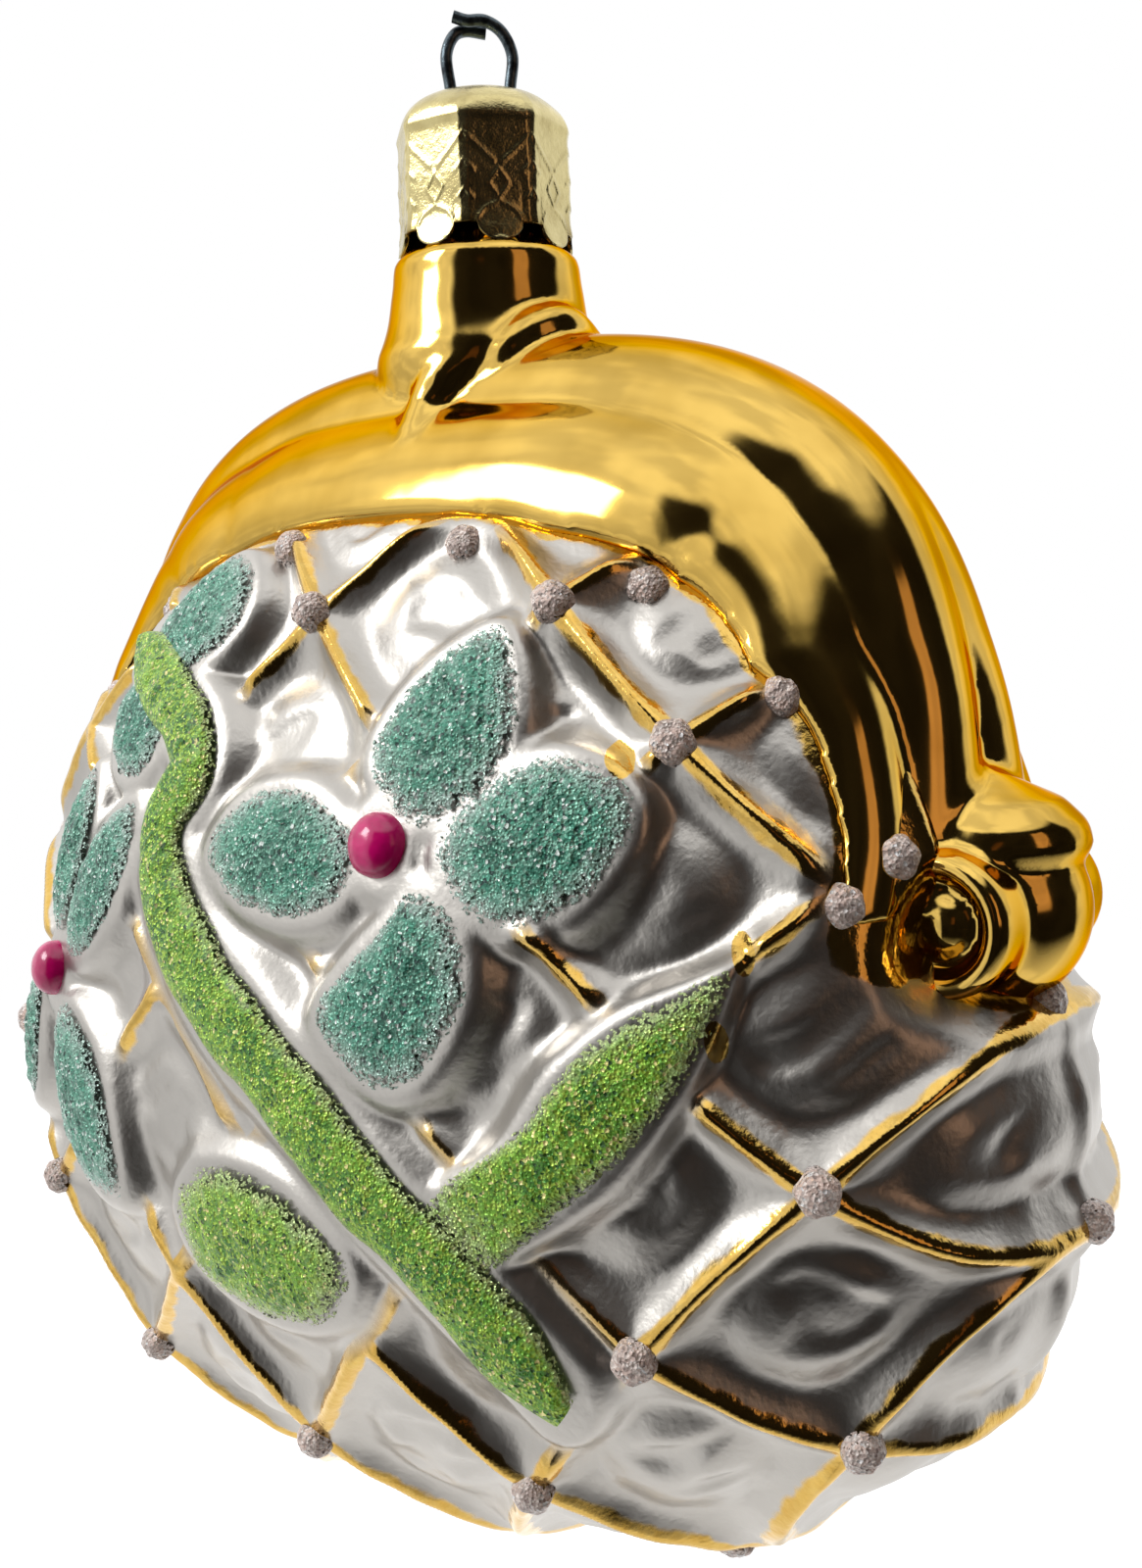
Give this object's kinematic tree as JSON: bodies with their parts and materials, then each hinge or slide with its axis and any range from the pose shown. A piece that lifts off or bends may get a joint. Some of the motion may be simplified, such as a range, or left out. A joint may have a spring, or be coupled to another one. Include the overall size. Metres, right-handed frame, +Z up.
{
  "type": "hanging glass purse ornament",
  "caption": "Hollow blown-glass ornament shaped like a quilted clasp purse, with a stamped metal cap and a sprung wire loop to hang it by.",
  "frame": {"origin": "inside top of the wire loop, where a hook or ribbon carries the ornament", "axes": "+Z up, -Y out of the front face with the flowers, +X to the right of someone looking at that face"},
  "size_m": [0.0806, 0.0477, 0.0934],
  "materials": {
    "silvered_glass": "polished",
    "gold_cap_metal": "polished",
    "spring_wire": "satin",
    "teal_glitter": "matte",
    "green_glitter": "matte",
    "magenta_enamel": "gloss",
    "rose_glitter": "matte"
  },
  "bodies": {
    "hanger": {"hanger_wire": "spring_wire"},
    "cap": {"cap": "gold_cap_metal"},
    "glass": {"glass_shell": "silvered_glass", "bud_petal_lower": "teal_glitter", "bud_petal_upper": "teal_glitter", "dot_left_1": "rose_glitter", "dot_left_10": "rose_glitter", "dot_left_11": "rose_glitter", "dot_left_12": "rose_glitter", "dot_left_2": "rose_glitter", "dot_left_3": "rose_glitter", "dot_left_4": "rose_glitter", "dot_left_5": "rose_glitter", "dot_left_6": "rose_glitter", "dot_left_7": "rose_glitter", "dot_left_8": "rose_glitter", "dot_left_9": "rose_glitter", "dot_right_1": "rose_glitter", "dot_right_10": "rose_glitter", "dot_right_11": "rose_glitter", "dot_right_12": "rose_glitter", "dot_right_13": "rose_glitter", "dot_right_14": "rose_glitter", "dot_right_15": "rose_glitter", "dot_right_16": "rose_glitter", "dot_right_2": "rose_glitter", "dot_right_3": "rose_glitter", "dot_right_4": "rose_glitter", "dot_right_5": "rose_glitter", "dot_right_6": "rose_glitter", "dot_right_7": "rose_glitter", "dot_right_8": "rose_glitter", "dot_right_9": "rose_glitter", "flower_bead": "magenta_enamel", "flower_petal_1": "teal_glitter", "flower_petal_2": "teal_glitter", "flower_petal_3": "teal_glitter", "flower_petal_4": "teal_glitter", "leaf_left": "green_glitter", "leaf_right": "green_glitter", "side_flower_bead": "magenta_enamel", "side_flower_petal_1": "teal_glitter", "side_flower_petal_2": "teal_glitter", "side_flower_petal_3": "teal_glitter", "side_flower_petal_4": "teal_glitter", "vine": "green_glitter"}
  },
  "joints": [
    {"name": "cap_lift", "type": "slide", "parent": "hanger", "child": "cap", "axis": [0, 0, 1], "range_m": [0, 0.001]},
    {"name": "glass_pull", "type": "slide", "parent": "hanger", "child": "glass", "axis": [0, 0, -1], "range_m": [0, 0.012]}
  ]
}
